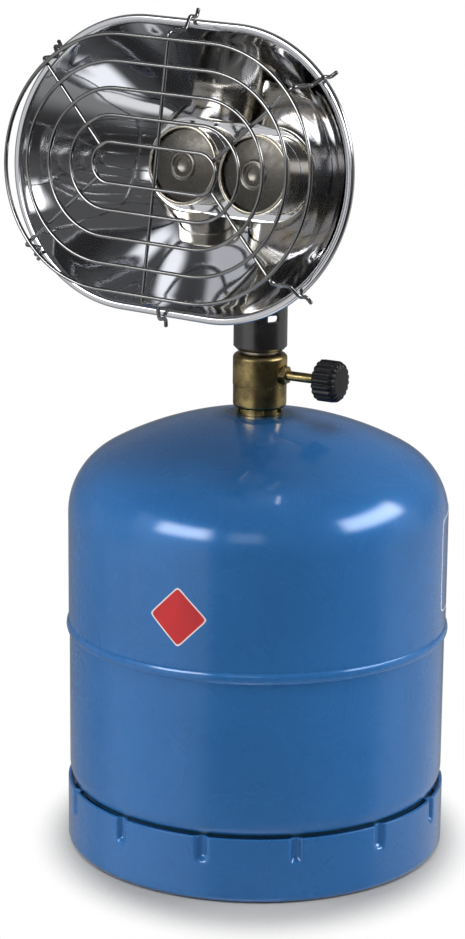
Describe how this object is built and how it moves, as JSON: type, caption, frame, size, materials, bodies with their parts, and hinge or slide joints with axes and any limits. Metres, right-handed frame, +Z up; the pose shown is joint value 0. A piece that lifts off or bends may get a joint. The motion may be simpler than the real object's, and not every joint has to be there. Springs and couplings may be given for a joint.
{
  "type": "portable propane heater",
  "caption": "Portable gas heater: an oblong polished reflector with burners and a wire guard, screwed on top of a refillable blue gas cylinder by a brass control valve.",
  "frame": {"origin": "centre of the foot ring's lower edge, on the surface that the cylinder stands on", "axes": "+Z up along the cylinder's axis; the heater faces -Y; the control knob points along +X"},
  "size_m": [0.2054, 0.2195, 0.453],
  "materials": {
    "cylinder_paint": "glossy blue enamel",
    "brass": "dulled turned brass",
    "zinc_steel": "bright zinc plate",
    "spring_steel": "bright",
    "rubber": "matt",
    "black_plastic": "satin moulded",
    "black_coat": "semi-gloss black coat",
    "tube_steel": "satin",
    "burner_steel": "polished, slightly heat-tinted",
    "gauze": "fine woven gauze",
    "polished_steel": "mirror polished",
    "guard_wire": "bright chrome-plated wire"
  },
  "bodies": {
    "cylinder": {"upper_shell": "cylinder_paint", "lower_shell": "cylinder_paint", "seam_weld": "cylinder_paint", "foot_ring": "cylinder_paint", "valve_bung": "cylinder_paint", "cylinder_valve": "brass", "retaining_disc": "zinc_steel", "check_ball": "spring_steel", "check_spring": "spring_steel", "inlet_seal": "rubber"},
    "heater": {"inlet_nut": "brass", "inlet_pin": "zinc_steel", "valve_body": "brass", "gland_nut": "brass", "gland_seal": "rubber", "neck": "zinc_steel", "fork_nut": "zinc_steel", "gas_jet": "brass", "swivel_fork": "black_coat"},
    "control": {"valve_spindle": "brass", "control_knob": "black_plastic"},
    "head": {"pivot_barrel": "tube_steel", "pivot_bolt": "zinc_steel", "pivot_washers": "zinc_steel", "pivot_nut": "zinc_steel", "riser_tube": "tube_steel", "manifold_tube": "tube_steel", "burner_neck_left": "tube_steel", "burner_neck_right": "tube_steel", "mounting_plate": "tube_steel", "clamp_nut_left": "zinc_steel", "clamp_nut_right": "zinc_steel", "burner_cup_left": "burner_steel", "burner_cup_right": "burner_steel", "gauze_ring_left": "burner_steel", "gauze_ring_right": "burner_steel", "centre_stud_left": "burner_steel", "centre_stud_right": "burner_steel", "baffle_left": "burner_steel", "baffle_right": "burner_steel", "gauze_left": "gauze", "gauze_right": "gauze", "reflector": "polished_steel", "guard_hoops": "guard_wire", "guard_upright": "guard_wire", "guard_spoke_1": "guard_wire", "guard_spoke_2": "guard_wire", "guard_spoke_3": "guard_wire", "guard_spoke_4": "guard_wire"}
  },
  "joints": [
    {"name": "heater_lift", "type": "slide", "parent": "cylinder", "child": "heater", "axis": [0, 0, 1], "range_m": [0, 0.02]},
    {"name": "knob_turn", "type": "hinge", "parent": "heater", "child": "control", "pos_m": [0.03, 0, 0.25822], "axis": [1, 0, 0], "range_deg": [0, 540]},
    {"name": "head_tilt", "type": "hinge", "parent": "heater", "child": "head", "pos_m": [0, 0, 0.30302], "axis": [-1, 0, 0], "range_deg": [-20, 35]}
  ]
}
